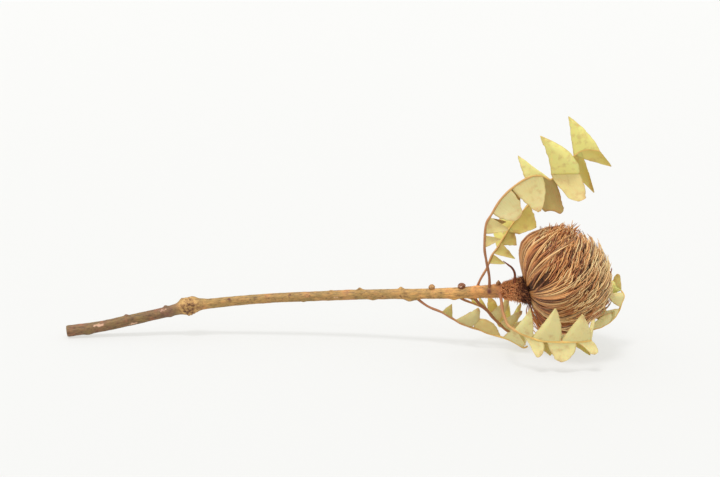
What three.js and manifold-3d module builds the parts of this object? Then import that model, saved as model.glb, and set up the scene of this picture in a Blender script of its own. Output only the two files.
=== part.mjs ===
// A dried banksia flower head on its cut stem, with the leaves that were left on it.
// Millimetres, +Z up. The cut stem lies along X and the flower head is at the +X end.
// Lengths below are measured from the neck, where the stem meets the flower head, with Z = 0 on the ground.
import * as THREE from 'three';
import { mergeVertices } from 'three/addons/utils/BufferGeometryUtils.js';
import Module from 'manifold-3d';

const wasm = await Module();
wasm.setup();

// ---- driving dimensions ----
const GAP = 0.3; // clearance between neighbouring pieces
const STEM_SIDES = 12;
const STEM_STEPS = 40;
const COLLAR_STEPS = 8;
const RIB_SIDES = 6;
const RIB_STEPS_PER_POINT = 2;
const CURLED_BRACT_STEPS = 10;
const BALL_SIDES = 10;
const BALL_RINGS = 8;
const BUD_STRETCH = 1.2; // a bud's length over its width
const LEAF_THICKNESS = 0.9;
const LOBE_ACROSS = 3;
const LOBE_ALONG = 6;
const LOBE_CUP = 0.09; // sag of a lobe's middle, as a share of its length
const HEAD_SIDES = 39;
const HEAD_BASE = [12, 0, 51.5];
const HEAD_TILT = THREE.MathUtils.degToRad(17); // how far the flower head looks up from the ground
const HEAD_HOLLOW = 3; // how far the middle of its underside goes back round the neck
const HEAD_RIPPLE = 0.025; // depth of the ripples between bundles of florets, as a share of the radius
const HEAD_RIPPLES = 13;
const HEAD_LEAN = 0.035; // how much fuller the head is above its axis, as a share of the radius
const HEAD_SADDLE = 0.0075; // how far its two sides are pressed forward, per square millimetre off the axis
const SAME_PLACE = 1e-4; // vertices closer than this are one

// The stem: [x, y, z, radius].
const STEM = [
  [-370, 35, 4.8, 4.7],
  [-343, 38, 8, 4.5],
  [-318, 40, 13, 4.6],
  [-295, 42, 17.8, 4.4],
  [-279, 42, 22, 4.8],
  [-269, 42, 24.8, 6.8],
  [-255, 42, 26.6, 4.5],
  [-225, 41, 30, 4],
  [-192, 39, 33, 3.9],
  [-158, 36, 35.3, 4.1],
  [-129, 32, 37.6, 4.1],
  [-92, 25, 40.3, 4.1],
  [-67, 20, 42, 4.3],
  [-43, 14, 44.4, 4.6],
  [-27, 10, 46.5, 5],
  [-12, 5, 48.8, 5.6],
  [0, 1, 50.6, 5.8],
  [10, 0, 51.5, 5.2],
];

// Swellings that grew on the stem: [x, y, z, radius along, radius across].
const STEM_SWELLINGS = [
  [-270, 39, 25, 7.5, 7.2],
  [-265, 43, 28, 6, 5.6],
  [-343, 35, 6.5, 5, 3.6],
  [-317, 38, 12, 5, 3.8],
  [-290, 40, 21, 5, 3.8],
  [-125, 31, 40, 3, 2.8],
  [-91, 25, 42.8, 3, 2.8],
  [-84, 21.5, 38.6, 7, 4.2],
  [-24, 8, 47, 6, 5.2],
];

// The flower head in section: [angle from its axis in degrees, distance from its base].
const HEAD_PROFILE = [
  [114, 7],
  [104, 10],
  [96, 17],
  [90, 30],
  [84, 39],
  [76, 44.5],
  [63, 49.5],
  [53, 54.5],
  [37, 62],
  [22, 68.5],
  [10, 70],
  [0, 70.5],
];

// The collar of stubby bracts at the neck: [x, y, z, radius].
const COLLAR = [
  [-9, 4, 49.3, 6.7],
  [-4, 2, 50.1, 7.3],
  [2, 0.5, 51, 8.3],
  [8, 0, 51.3, 9.3],
  [11, 0, 51.5, 9],
];

const CURLED_BRACT = [
  [-1, -4, 60.5, 1.5],
  [-1, -5, 65, 1.5],
  [-2, -6, 68.5, 1.4],
  [-4, -6.5, 71.5, 1.3],
  [-7, -7, 74, 1.1],
  [-11, -7, 77, 0.6],
];

// Buds on the stem: [x, y, z, radius].
const BUDS = [
  [-42, 13, 50.6, 2.6],
  [-66, 19.5, 47.8, 2.2],
  [-13, 5, 56, 2.4],
];

// Where the arching leaf is folded over, two lobes stand on the crease and not on the midrib.
const FOLD = [[27, 9, 144], [50, 9, 144.5]];

// One lobe: it stands on the midrib from rib point first to last, or on a foot line of its own, and ends at
// its tip. blunt is the share of its width left at the tip, full rounds its edges, sway bows it along its foot.
function lobe(first, last, tip, { blunt = 0.05, full = 1.25, sway = 0, foot = null } = {}) {
  return { first, last, tip, blunt, full, sway, foot };
}

// Each leaf: its midrib as [x, y, z] points, the midrib's radius at the stem and at the tip, and its lobes.
const LEAVES = {
  leaf_arching: {
    colour: 0xd6cb78,
    radii: [1.35, 0.7],
    rib: [
      [-20, 6, 49], [-21, 0, 62], [-24, -5, 76], [-26, -8, 87], [-26, -8, 98], [-25, -8, 108],
      [-21, -7, 115], [-14, -4, 126], [-6, -2, 134], [4, 0, 141], [13, 3, 144], [20, 6, 143],
      [27, 8, 140], [32, 10, 145], [38, 10, 151], [44, 9, 158], [50, 8, 163], [57, 8, 164],
      [65, 8, 163],
    ],
    lobes: [
      lobe(3.1, 4, [-14, -12, 96]),
      lobe(4.15, 5.7, [-8, -13, 104], { blunt: 0.1 }),
      lobe(6.1, 8, [1, -16, 115], { blunt: 0.3, full: 2 }),
      lobe(8.1, 11, [16, -14, 119], { blunt: 0.14, full: 1.5, sway: 1.5 }),
      lobe(9.6, 12.6, [30.5, 5, 114.5], { blunt: 0.86, full: 1.6 }),
      lobe(12, 15, [48, -3, 124.5], { blunt: 0.45, full: 2.2, foot: FOLD }),
      lobe(14.2, 16, [63, 15, 128]),
      lobe(9.2, 12, [0, 4, 160], { blunt: 0.04, full: 1.1 }),
      lobe(12, 15, [17, 3, 176], { full: 2.8, sway: 5.2, foot: FOLD }),
      lobe(15.1, 18, [39, 6, 191], { blunt: 0.04, full: 1.5, sway: 1.5 }),
      lobe(15.2, 18, [75, 11, 150], { full: 1.1 }),
      lobe(4.3, 5.6, [-8, 6, 106]),
      lobe(6.3, 8.3, [3, 10, 119], { blunt: 0.1, full: 1.5 }),
    ],
  },
  leaf_back: {
    colour: 0xb9b26a,
    radii: [1.3, 0.7],
    rib: [
      [-30, 11, 49], [-27, 13, 56], [-22, 16, 64], [-17, 20, 75], [-13, 22, 80], [-8, 24, 88],
      [-2, 27, 97], [6, 30, 107], [13, 32, 114],
    ],
    lobes: [
      lobe(2.4, 3.1, [-7, 14, 69]),
      lobe(3.2, 4.6, [1, 15, 73]),
      lobe(4.4, 5.9, [3, 24, 82], { full: 1.6, sway: 1 }),
      lobe(5.6, 8, [19, 28, 96], { full: 1.8, sway: -1 }),
      lobe(5.2, 6.4, [-11, 30, 103]),
      lobe(7, 8, [22, 36, 122], { blunt: 0.2 }),
      lobe(4, 5.3, [-16, 32, 95]),
    ],
  },
  leaf_front: {
    colour: 0xd9d38c,
    radii: [1.6, 0.85],
    rib: [
      [-12, 2, 49], [-12, -12, 45], [-12, -22, 40], [-11, -30, 37], [-9, -37, 33], [-5, -42, 31],
      [0, -46, 29], [7, -49, 27], [14, -51, 25], [30, -52, 24], [46, -51, 24], [55, -48, 24],
    ],
    lobes: [
      lobe(5.1, 7.2, [6, -52, 51], { blunt: 0.04, full: 1.3, sway: 1 }),
      lobe(7.2, 9, [25, -54, 52], { blunt: 0.04, full: 1.35, sway: 1 }),
      lobe(9.05, 10.95, [46, -53, 47], { blunt: 0.04, full: 1.35, sway: 1 }),
      lobe(10.5, 11, [57, -42, 40], { blunt: 0.6 }),
      lobe(6.3, 8.2, [12, -56, 13], { blunt: 0.2, full: 1.4, sway: 1.5 }),
      lobe(8.4, 9.75, [31, -56, 9], { blunt: 0.3, full: 2, sway: 1 }),
      lobe(9.8, 11, [57, -54, 14.5], { blunt: 0.45, full: 1.6, sway: 1.5 }),
      lobe(5.6, 6.3, [4, -48, 20]),
    ],
  },
  leaf_low: {
    colour: 0xcfc57c,
    radii: [1.25, 0.85],
    rib: [
      [-82, 22, 40.5], [-69, 17, 32], [-58, 14, 28], [-50, 11, 24], [-43, 10, 20], [-35, 9, 17],
      [-27, 7, 15], [-19, 6, 12], [-11, 5, 10], [-2, 4, 7], [4, 4, 3.5], [9, 3, 1.1],
      [12, 3, 2.4],
    ],
    lobes: [
      lobe(2, 3.1, [-50, 8, 37], { blunt: 0.04, full: 1.1 }),
      lobe(3.4, 5.1, [-29, 2, 35], { blunt: 0.12, full: 1.8, sway: 2 }),
      lobe(5.4, 8.1, [-22.5, 4, 25], { blunt: 0.45, full: 1.6 }),
      lobe(8.3, 10.9, [6, -9, 19], { blunt: 0.75 }),
      lobe(2.2, 3, [-54, 17, 31]),
      lobe(3.6, 5, [-34, 15, 28]),
    ],
  },
  leaf_under: {
    colour: 0xbdb565,
    radii: [1.6, 0.7],
    rib: [
      [-34.5, 11.5, 45], [-28, 11, 36.5], [-21, 12, 30], [-16, 12, 24], [-10, 12, 18], [-3, 12, 12],
      [15, 10, 7], [39, 6, 7], [54, 4, 11], [66, 4, 17], [70, 4, 18], [74, 4, 20],
      [79, 5, 23], [83, 6, 27], [86, 7, 32], [88, 8, 38], [90, 10, 43], [88, 12, 47],
    ],
    lobes: [
      lobe(2.4, 3.7, [-3, 16, 37], { blunt: 0.35 }),
      lobe(3.8, 4.9, [8, 14, 29], { blunt: 0.3 }),
      lobe(4.6, 5.3, [16, 17, 23], { blunt: 0.35 }),
      lobe(6.1, 7, [28, -15, 0.5]),
      lobe(5.7, 6.7, [14, 38, 0.5]),
      lobe(6.8, 7.8, [42, 36, 0.5]),
      lobe(7.3, 8.4, [60, -16, 0.8]),
      lobe(8.4, 12.2, [73, -8, 33], { blunt: 0.35, full: 1.5 }),
      lobe(9.6, 12.6, [80, 0, 33], { blunt: 0.1, full: 1.4 }),
      lobe(12, 14.2, [65, -3, 30], { blunt: 0.3, full: 1.6 }),
      lobe(14.4, 16.6, [76, 0, 46], { blunt: 0.35, full: 1.4 }),
      lobe(15.8, 17, [84.5, 16, 60], { blunt: 0.5, full: 1.6, foot: [[80, 14, 43], [88, 12, 47]] }),
      lobe(15.8, 17, [79, 15, 55], { blunt: 0.3, full: 1.4, foot: [[80, 14, 43], [88, 12, 47]] }),
      lobe(9.6, 12, [71, 16, 40], { blunt: 0.2 }),
    ],
  },
  leaf_rear: {
    colour: 0xc4bb74,
    radii: [1.3, 0.7],
    rib: [
      [-49, 15, 44], [-42, 18, 38.5], [-34, 22, 34], [-26, 25, 30], [-17, 28, 24], [-8, 30, 20],
      [-1, 32, 16], [6, 34, 11],
    ],
    lobes: [
      lobe(3, 3.9, [-26, 30, 37]),
      lobe(3.8, 5.2, [-16, 32, 35.5], { blunt: 0.35, full: 1.5 }),
      lobe(5.2, 6.3, [-3, 33, 36], { blunt: 0.35, full: 1.5 }),
      lobe(6.1, 7, [9, 37, 24], { blunt: 0.2 }),
      lobe(4.6, 6, [-9, 27, 11], { blunt: 0.3 }),
      lobe(5.2, 6.8, [2, 42, 0.5]),
      lobe(2.2, 3.2, [-33, 24, 40]),
      lobe(6.2, 7, [8, 24, 33], { blunt: 0.3 }),
    ],
  },
};

// ---- geometry ----

// A closed three.js geometry as a manifold solid.
function solid(geometry) {
  geometry.deleteAttribute('normal');
  geometry.deleteAttribute('uv');
  const merged = mergeVertices(geometry, SAME_PLACE);
  const mesh = new wasm.Mesh({
    numProp: 3,
    vertProperties: new Float32Array(merged.attributes.position.array),
    triVerts: new Uint32Array(merged.index.array),
  });
  return new wasm.Manifold(mesh);
}

function geometryOf(manifold) {
  const mesh = manifold.getMesh();
  const geometry = new THREE.BufferGeometry();
  geometry.setAttribute('position', new THREE.BufferAttribute(mesh.vertProperties, 3));
  geometry.setIndex(new THREE.BufferAttribute(mesh.triVerts, 1));
  geometry.computeVertexNormals();
  return geometry;
}

// Moves every vertex of a geometry to the place that the function gives for it.
function reshape(geometry, place) {
  const position = geometry.attributes.position;
  const vertex = new THREE.Vector3();
  for (let i = 0; i < position.count; i += 1) {
    vertex.fromBufferAttribute(position, i);
    const moved = place(vertex);
    position.setXYZ(i, moved.x, moved.y, moved.z);
  }
  return geometry;
}

function curveThrough(points) {
  return new THREE.CatmullRomCurve3(points.map(([x, y, z]) => new THREE.Vector3(x, y, z)));
}

// A closed round bar bent along the curve. radiusAt gives its radius from 0 to 1 along the points.
function bentBar(curve, radiusAt, sides, steps) {
  const frames = curve.computeFrenetFrames(steps, false);
  const bar = new THREE.CylinderGeometry(1, 1, 1, sides, steps);
  return reshape(bar, (vertex) => {
    const along = vertex.y + 0.5;
    const step = Math.round(along * steps);
    const t = curve.getUtoTmapping(along);
    const radius = radiusAt(t);
    return curve.getPoint(t)
      .addScaledVector(frames.normals[step], vertex.x * radius)
      .addScaledVector(frames.binormals[step], -vertex.z * radius);
  });
}

// A bar whose points are [x, y, z, radius].
function tapered(points, sides, steps, grow) {
  const radii = points.map((point) => point[3]);
  const radiusAt = (t) => {
    const place = t * (radii.length - 1);
    const index = Math.min(Math.floor(place), radii.length - 2);
    return THREE.MathUtils.lerp(radii[index], radii[index + 1], place - index) + grow;
  };
  return solid(bentBar(curveThrough(points), radiusAt, sides, steps));
}

function ellipsoid(x, y, z, along, across, grow) {
  const ball = new THREE.SphereGeometry(1, BALL_SIDES, BALL_RINGS);
  ball.scale(along + grow, across + grow, across + grow);
  ball.translate(x, y, z);
  return solid(ball);
}

function buildStem(grow = 0) {
  let stem = tapered(STEM, STEM_SIDES, STEM_STEPS, grow);
  for (const [x, y, z, along, across] of STEM_SWELLINGS) {
    stem = stem.add(ellipsoid(x, y, z, along, across, grow));
  }
  return stem;
}

function buildCollar(grow = 0) {
  return tapered(COLLAR, STEM_SIDES, COLLAR_STEPS, grow);
}

// The plain dome leans up a little, and its two sides are pressed forward.
function pressed(offset) {
  const axis = new THREE.Vector3(Math.cos(HEAD_TILT), 0, Math.sin(HEAD_TILT));
  const up = new THREE.Vector3(-Math.sin(HEAD_TILT), 0, Math.cos(HEAD_TILT));
  const leaned = offset.clone();
  leaned.multiplyScalar(1 + (HEAD_LEAN * offset.dot(up)) / Math.max(offset.length(), 1));
  const tallest = HEAD_PROFILE[HEAD_PROFILE.length - 1][1];
  const forward = THREE.MathUtils.clamp(1 - leaned.dot(axis) / tallest, 0, 1);
  return leaned.addScaledVector(axis, HEAD_SADDLE * leaned.y ** 2 * forward);
}

function buildHead(grow = 0) {
  const outline = HEAD_PROFILE.map(([degrees, distance]) => {
    const angle = THREE.MathUtils.degToRad(degrees);
    return new THREE.Vector2((distance + grow) * Math.sin(angle), (distance + grow) * Math.cos(angle));
  });
  outline[outline.length - 1].x = 0;
  const base = new THREE.Vector2(0, -HEAD_HOLLOW - grow);
  const head = new THREE.LatheGeometry([base, ...outline], HEAD_SIDES);
  reshape(head, (vertex) => {
    const around = Math.atan2(vertex.z, vertex.x);
    const ripple = 1 + HEAD_RIPPLE * Math.sin(HEAD_RIPPLES * around);
    return vertex.clone().multiply(new THREE.Vector3(ripple, 1, ripple));
  });
  head.rotateZ(HEAD_TILT - Math.PI / 2);
  head.rotateX(Math.PI / 2);
  reshape(head, pressed);
  head.translate(...HEAD_BASE);
  return solid(head);
}

// One lobe of a leaf: a thin cupped blade that stands on its foot line and narrows to its tip.
function buildLobe(curve, lastPoint, { first, last, tip, blunt, full, sway, foot }, thickness) {
  const line = foot ? curveThrough(foot) : null;
  const onFoot = (share) => (
    line ? line.getPoint(share) : curve.getPoint(THREE.MathUtils.lerp(first, last, share) / lastPoint)
  );
  const middle = onFoot(0.5);
  const reach = new THREE.Vector3(...tip).sub(middle);
  const across = onFoot(1).sub(onFoot(0)).normalize();
  const normal = new THREE.Vector3().crossVectors(across, reach).normalize();
  const blade = new THREE.BoxGeometry(1, 1, 1, LOBE_ACROSS, LOBE_ALONG, 1);
  return solid(reshape(blade, (vertex) => {
    const out = vertex.y + 0.5;
    const hump = 4 * out * (1 - out);
    const width = 1 - (1 - blunt) * out ** full;
    const side = onFoot(vertex.x + 0.5).sub(middle);
    const cup = LOBE_CUP * reach.length() * hump * (1 - 4 * vertex.x * vertex.x);
    return middle.clone()
      .addScaledVector(reach, out)
      .addScaledVector(side, width)
      .addScaledVector(across, hump * sway)
      .addScaledVector(normal, vertex.z * thickness + cup);
  }));
}

function buildLeaf({ rib, radii, lobes }, grow = 0) {
  const curve = curveThrough(rib);
  const lastPoint = rib.length - 1;
  const radiusAt = (t) => THREE.MathUtils.lerp(radii[0], radii[1], t) + grow;
  let leaf = solid(bentBar(curve, radiusAt, RIB_SIDES, lastPoint * RIB_STEPS_PER_POINT));
  for (const shape of lobes) {
    leaf = leaf.add(buildLobe(curve, lastPoint, shape, LEAF_THICKNESS + 2 * grow));
  }
  return leaf;
}

// ---- assembly ----
const object = new THREE.Group();

function addPart(name, manifold, colour, roughness) {
  const material = new THREE.MeshStandardMaterial({ color: colour, roughness, metalness: 0 });
  const mesh = new THREE.Mesh(geometryOf(manifold), material);
  mesh.name = name;
  object.add(mesh);
}

const stemRoom = buildStem(GAP);
const collarRoom = buildCollar(GAP).add(stemRoom);
const headRoom = buildHead(GAP);

addPart('stem', buildStem(), 0xa89072, 0.85);
addPart('bract_collar', buildCollar().subtract(stemRoom), 0x6d3f2a, 0.95);
addPart('flower_head', buildHead().subtract(collarRoom), 0xb58a54, 0.9);

const curledBract = tapered(CURLED_BRACT, RIB_SIDES, CURLED_BRACT_STEPS, 0);
addPart('curled_bract', curledBract.subtract(collarRoom).subtract(headRoom), 0x8a5a34, 0.8);

BUDS.forEach(([x, y, z, radius], index) => {
  const bud = ellipsoid(x, y, z, radius * BUD_STRETCH, radius, 0);
  addPart(`bud_${index + 1}`, bud.subtract(collarRoom), 0x5c3d28, 0.85);
});

let occupied = collarRoom.add(headRoom);
for (const [name, leaf] of Object.entries(LEAVES)) {
  addPart(name, buildLeaf(leaf).subtract(occupied), leaf.colour, 0.6);
  occupied = occupied.add(buildLeaf(leaf, GAP));
}

// The origin is at the middle of the whole piece, on the ground.
object.updateMatrixWorld(true);
const box = new THREE.Box3().setFromObject(object);
const middle = box.getCenter(new THREE.Vector3());
object.position.set(-middle.x, -middle.y, -box.min.z);

export default object;
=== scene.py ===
"""A dried banksia flower head on its cut stem, with its leaves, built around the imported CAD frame.

Shapes are given in millimetres from the neck, the point on the floor below the place where the stem
meets the flower head, and placed with to_frame(), which turns them into metres in the row frame.
"""

import math

import bpy
import numpy as np
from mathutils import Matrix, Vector, noise


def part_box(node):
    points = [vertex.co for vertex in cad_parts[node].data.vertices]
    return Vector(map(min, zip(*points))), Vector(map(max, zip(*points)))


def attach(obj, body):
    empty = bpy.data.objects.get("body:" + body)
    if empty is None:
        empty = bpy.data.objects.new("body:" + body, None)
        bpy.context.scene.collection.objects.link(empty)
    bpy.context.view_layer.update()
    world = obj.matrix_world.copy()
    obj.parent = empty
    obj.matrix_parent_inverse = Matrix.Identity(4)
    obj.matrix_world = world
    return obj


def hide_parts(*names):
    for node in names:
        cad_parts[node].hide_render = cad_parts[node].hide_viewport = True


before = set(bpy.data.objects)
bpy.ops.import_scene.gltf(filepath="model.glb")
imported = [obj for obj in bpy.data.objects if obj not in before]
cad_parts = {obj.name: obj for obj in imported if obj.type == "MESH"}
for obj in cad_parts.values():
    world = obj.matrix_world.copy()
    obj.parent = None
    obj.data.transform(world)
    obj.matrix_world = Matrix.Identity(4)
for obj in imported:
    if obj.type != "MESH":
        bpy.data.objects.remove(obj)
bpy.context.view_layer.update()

MM = 0.001
STEM_CORNER_TO_NECK = (370.73, 5.17)
STEM_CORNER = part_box("stem")[0].xy
NECK = Vector((*(corner / MM + step for corner, step in zip(STEM_CORNER, STEM_CORNER_TO_NECK)), 0.0))
RANDOM = np.random.default_rng(17)

# ---- the camera, floor and light ----
LENS_MM = 70.0
SENSOR_MM = 36
CAMERA_PITCH = math.radians(14)
CAMERA_PLACE = (-124.8, -1083.5, 363.8)
FLOOR_SIDE = 8.0
FLOOR_FAR = 24.0
FLOOR_DROP = 0.0002
FLOOR_COLOUR = (0.192, 0.193, 0.202, 1)
FLOOR_GLOW = 0.612
FLOOR_GLOW_COLOUR = (1.0, 0.998, 0.95, 1)
WORLD_COLOUR = (1.0, 1.0, 0.992, 1)
WORLD_STRENGTH = 1.02
SOFTBOX_STRENGTH = 1.7
SOFTBOX_ANGLE = math.radians(14)
SOFTBOX_TURN = (math.radians(10), math.radians(-12), 0)


def to_frame(points):
    """Millimetres from the neck to metres in the row frame."""
    return (np.asarray(points, float) + np.array(NECK)) * MM


# ---- mesh helpers ----
def add_piece(name, nodes, vertices, faces, material, attributes=None, bake_uv=None):
    """One piece of the object, from millimetre vertices, with a float attribute for each name.

    It has the given material and replaces the CAD nodes, which may be none.
    """
    mesh = bpy.data.meshes.new(name)
    mesh.from_pydata(to_frame(vertices).tolist(), [], [list(map(int, f)) for f in faces])
    for key, values in (attributes or {}).items():
        layer = mesh.attributes.new(key, "FLOAT", "POINT")
        layer.data.foreach_set("value", np.asarray(values, np.float32))
    if bake_uv is not None:
        layer = mesh.uv_layers.new(name="OFBake")
        layer.data.foreach_set("uv", np.asarray(bake_uv, np.float32).ravel())
    mesh.polygons.foreach_set("use_smooth", [True] * len(mesh.polygons))
    mesh.materials.append(material)
    mesh.validate()
    mesh.update()
    piece = bpy.data.objects.new(name, mesh)
    bpy.context.scene.collection.objects.link(piece)
    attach(piece, "root")
    if nodes:
        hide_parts(*nodes)


def unit(vectors):
    return vectors / np.linalg.norm(vectors, axis=-1, keepdims=True)


def spline(points, places):
    """A centripetal Catmull-Rom curve through the points, at places counted in points."""
    points = np.asarray(points, float)
    ends = np.vstack([2 * points[0] - points[1], points, 2 * points[-1] - points[-2]])
    places = np.clip(np.asarray(places, float), 0, len(points) - 1)
    index = np.minimum(places.astype(int), len(points) - 2)
    share = (places - index)[:, None]
    p0, p1, p2, p3 = (ends[index + k] for k in range(4))
    pairs = ((p0, p1), (p1, p2), (p2, p3))
    gaps = [np.sqrt(np.linalg.norm(b[:, :3] - a[:, :3], axis=1))[:, None] for a, b in pairs]
    d0, d1, d2 = (np.maximum(g, 1e-4) for g in gaps)
    slope1 = ((p1 - p0) / d0 - (p2 - p0) / (d0 + d1) + (p2 - p1) / d1) * d1
    slope2 = ((p2 - p1) / d1 - (p3 - p1) / (d1 + d2) + (p3 - p2) / d2) * d1
    c2 = -3 * p1 + 3 * p2 - 2 * slope1 - slope2
    c3 = 2 * p1 - 2 * p2 + slope1 + slope2
    return p1 + slope1 * share + c2 * share**2 + c3 * share**3


def along_frames(path):
    """Tangent and two steady cross directions at each point of a path."""
    tangent = np.gradient(path, axis=0)
    tangent /= np.linalg.norm(tangent, axis=1)[:, None]
    side = np.empty_like(path)
    start = np.cross(tangent[0], (0, 0, 1.0))
    if np.linalg.norm(start) < 0.2:
        start = np.cross(tangent[0], (0, 1.0, 0))
    side[0] = start / np.linalg.norm(start)
    for i in range(1, len(path)):
        kept = side[i - 1] - tangent[i] * np.dot(side[i - 1], tangent[i])
        side[i] = kept / np.linalg.norm(kept)
    return tangent, side, np.cross(tangent, side)


def turns(sides):
    """The angles of evenly spaced points round a circle."""
    return np.linspace(0, 2 * math.pi, sides, endpoint=False)


def ring_faces(rings, sides):
    """Quads between rings of vertices, with both ends closed."""
    faces = []
    for i in range(rings - 1):
        for j in range(sides):
            k = (j + 1) % sides
            faces.append((i * sides + j, i * sides + k, (i + 1) * sides + k, (i + 1) * sides + j))
    faces.append(tuple(range(sides - 1, -1, -1)))
    faces.append(tuple(range((rings - 1) * sides, rings * sides)))
    return faces


def tube(path, radii, sides):
    """Vertices and faces of a closed round tube. radii is one number or one row of numbers per point."""
    _, side, up = along_frames(path)
    turn = turns(sides)
    radii = np.broadcast_to(np.asarray(radii, float).reshape(len(path), -1), (len(path), sides))
    circle = np.cos(turn)[None, :, None] * side[:, None] + np.sin(turn)[None, :, None] * up[:, None]
    vertices = (path[:, None] + circle * radii[..., None]).reshape(-1, 3)
    return vertices, ring_faces(len(path), sides)


TIP_TAPER = 5
UV_MARGIN = 0.08


def strand_uvs(count, points, turn):
    """UVs for the faces of strands: one tile for each strand, with its two caps at the tile's ends."""
    sides = len(turn)
    across = math.ceil(math.sqrt(count * 0.5))
    down = math.ceil(count / across)
    corners = ((0, 0), (1, 0), (1, 1), (0, 1))
    quads = [(j + u, i + v) for i in range(points - 1) for j in range(sides) for u, v in corners]
    quads = np.array(quads, float) / (sides, points - 1) * (1 - 2 * UV_MARGIN) + UV_MARGIN
    cap = (0.5 + 0.4 * np.stack([np.cos(turn), np.sin(turn)], axis=1)) * (1, 0.05)
    tile = np.vstack([quads, cap[::-1], cap + (0, 0.93)])
    tiles = np.array([(s % across, s // across) for s in range(count)], float)
    return ((tile + tiles[:, None]) / (across, down)).reshape(-1, 2)


def add_strands(
    name, slot, paths, widths, tones, hues, sides, material, flatness=1.0, tip=0.3, start=0.0, root=(0.5, 4.0)
):
    """Many thin closed strands as one piece. paths is (strand, point, xyz), widths is per strand.

    tip is the share of the width left at the tip, start is where the root's shade begins, and root is
    the share of the width at the root and how fast it grows from there.
    """
    count, points, _ = paths.shape
    tangent = np.gradient(paths, axis=1)
    tangent /= np.maximum(np.linalg.norm(tangent, axis=2), 1e-9)[..., None]
    guide = np.where(np.abs(tangent[:, :1, 1:2]) < 0.8, np.array([0, 1.0, 0]), np.array([1.0, 0, 0]))
    side = np.cross(tangent, guide)
    side /= np.maximum(np.linalg.norm(side, axis=2), 1e-9)[..., None]
    up = np.cross(tangent, side)
    place = np.linspace(0, 1, points)
    tip_taper = tip + (1 - tip) * np.minimum(1, (1 - place) * TIP_TAPER)
    taper = tip_taper * np.minimum(1, root[0] + place * root[1])
    radius = widths[:, None] * taper[None]
    turn = turns(sides) + math.pi / 4
    ring = np.cos(turn)[:, None] * side[:, :, None] + flatness * np.sin(turn)[:, None] * up[:, :, None]
    vertices = (paths[:, :, None] + ring * radius[:, :, None, None]).reshape(-1, 3)
    one = ring_faces(points, sides)
    faces = [[first + i for i in face] for first in range(0, len(vertices), points * sides) for face in one]
    values = {
        "along": start + (1 - start) * place[None, :, None],
        "tone": tones[:, None, None],
        "hue": hues[:, None, None],
    }
    attributes = {key: np.broadcast_to(v, (count, points, sides)).ravel() for key, v in values.items()}
    add_piece(name, (), vertices, faces, material, attributes, strand_uvs(count, points, turn))


# ---- material helpers ----
class Shader:
    """A procedural material on one Principled BSDF."""

    def __init__(self, name, roughness=0.7, inputs=()):
        self.material = bpy.data.materials.new(name)
        self.material.use_nodes = True
        self.tree = self.material.node_tree
        self.bsdf = next(n for n in self.tree.nodes if n.type == "BSDF_PRINCIPLED")
        self.bsdf.inputs["Roughness"].default_value = roughness
        for key, value in dict(inputs).items():
            self.bsdf.inputs[key].default_value = value

    def node(self, kind, inputs=(), **settings):
        """A new node. inputs holds a value or a socket to link, by the input's name or number."""
        made = self.tree.nodes.new(kind)
        for key, value in settings.items():
            setattr(made, key, value)
        for key, value in dict(inputs).items():
            self.feed(made.inputs[key], value)
        return made

    def feed(self, socket, value):
        if isinstance(value, bpy.types.NodeSocket):
            self.tree.links.new(value, socket)
        elif isinstance(value, tuple) and len(value) == 3:
            socket.default_value = (*value, 1)
        else:
            socket.default_value = value

    def attribute(self, name):
        return self.node("ShaderNodeAttribute", attribute_name=name).outputs["Fac"]

    def place(self):
        return self.node("ShaderNodeTexCoord").outputs["Object"]

    def coordinates(self, x, y):
        return self.node("ShaderNodeCombineXYZ", {0: x, 1: y}).outputs["Vector"]

    def noise(self, vector, scale, detail=3.0, roughness=0.55):
        inputs = {"Vector": vector, "Scale": scale, "Detail": detail, "Roughness": roughness}
        return self.node("ShaderNodeTexNoise", inputs).outputs["Fac"]

    def math(self, operation, a, b, c=0.0):
        return self.node("ShaderNodeMath", {0: a, 1: b, 2: c}, operation=operation).outputs["Value"]

    def ramp(self, factor, *stops):
        made = self.node("ShaderNodeValToRGB", {"Fac": factor})
        elements = made.color_ramp.elements
        while len(elements) < len(stops):
            elements.new(0.5)
        for element, (position, colour) in zip(elements, stops):
            element.position = position
            element.color = (*colour, 1)
        return made.outputs["Color"]

    def palette(self, factor, *stops):
        """A ramp with stops of [position, red, green, blue], in 0-255 screen values."""
        return self.ramp(factor, *((position, srgb(*colour)) for position, *colour in stops))

    def fade(self, factor, *stops):
        """A grey ramp with stops of [position, level]."""
        return self.ramp(factor, *((position, (level, level, level)) for position, level in stops))

    def mix(self, factor, a, b, blend="MIX"):
        inputs = {0: factor, 6: a, 7: b}
        return self.node("ShaderNodeMix", inputs, data_type="RGBA", blend_type=blend).outputs[2]

    def tint(self, base, where, strength, colour):
        """The base drawn towards a screen colour, by the strength times the value of where."""
        return self.mix(self.math("MULTIPLY", where, strength), base, srgb(*colour))

    def finished(self, colour, height=None, strength=0.0, distance=0.0):
        """The material with its colour and, where a height is given, a bump of a distance in millimetres."""
        self.feed(self.bsdf.inputs["Base Color"], colour)
        if height is not None:
            inputs = {"Strength": strength, "Distance": distance * MM, "Height": height}
            self.feed(self.bsdf.inputs["Normal"], self.node("ShaderNodeBump", inputs).outputs["Normal"])
        return self.material


def srgb(red, green, blue):
    """A colour given as 0-255 screen values, as the linear values that shaders take."""
    values = (red / 255, green / 255, blue / 255)
    return tuple(v / 12.92 if v <= 0.04045 else ((v + 0.055) / 1.055) ** 2.4 for v in values)


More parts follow.
